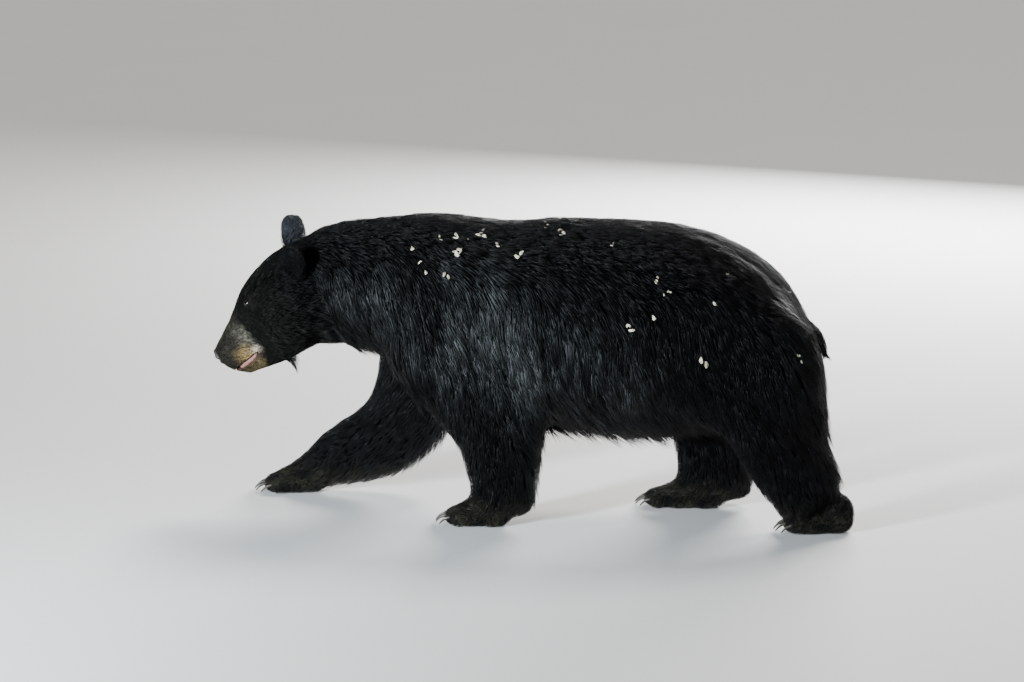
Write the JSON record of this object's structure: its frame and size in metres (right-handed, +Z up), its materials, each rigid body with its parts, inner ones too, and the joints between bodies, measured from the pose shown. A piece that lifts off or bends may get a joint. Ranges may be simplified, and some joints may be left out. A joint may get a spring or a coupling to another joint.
{
  "type": "american black bear, life-size still model",
  "caption": "Life-size walking black bear with lowered head, shaggy black coat, tan muzzle, rounded ears and clawed paws.",
  "frame": {"origin": "on the floor, under the middle of the animal's box seen from above", "axes": "the bear faces -X, its left side is -Y, +Z is up"},
  "size_m": [1.5798, 0.4738, 0.7327],
  "materials": {
    "coat": "long glossy black hair with a cool sheen",
    "muzzle": "short grey-brown and tan hair",
    "nose_skin": "moist pebbled black skin",
    "eye": "wet dark brown eyeball",
    "tongue": "moist pink tongue and lip lining",
    "claw": "dark horn with a dull shine"
  },
  "bodies": {
    "root": {"head": "coat", "neck": "coat", "trunk": "coat", "tail": "coat", "ear_left": "coat", "ear_right": "coat", "foreleg_left": "coat", "foreleg_right": "coat", "hindleg_left": "coat", "hindleg_right": "coat", "forepaw_left": "coat", "forepaw_right": "coat", "hindpaw_left": "coat", "hindpaw_right": "coat", "jaw": "muzzle", "nose": "nose_skin", "tongue": "tongue", "eye_left": "eye", "eye_right": "eye", "forepaw_left_claw_1": "claw", "forepaw_left_claw_2": "claw", "forepaw_left_claw_3": "claw", "forepaw_left_claw_4": "claw", "forepaw_left_claw_5": "claw", "forepaw_right_claw_1": "claw", "forepaw_right_claw_2": "claw", "forepaw_right_claw_3": "claw", "forepaw_right_claw_4": "claw", "forepaw_right_claw_5": "claw", "hindpaw_left_claw_1": "claw", "hindpaw_left_claw_2": "claw", "hindpaw_left_claw_3": "claw", "hindpaw_left_claw_4": "claw", "hindpaw_left_claw_5": "claw", "hindpaw_right_claw_1": "claw", "hindpaw_right_claw_2": "claw", "hindpaw_right_claw_3": "claw", "hindpaw_right_claw_4": "claw", "hindpaw_right_claw_5": "claw"}
  },
  "joints": []
}
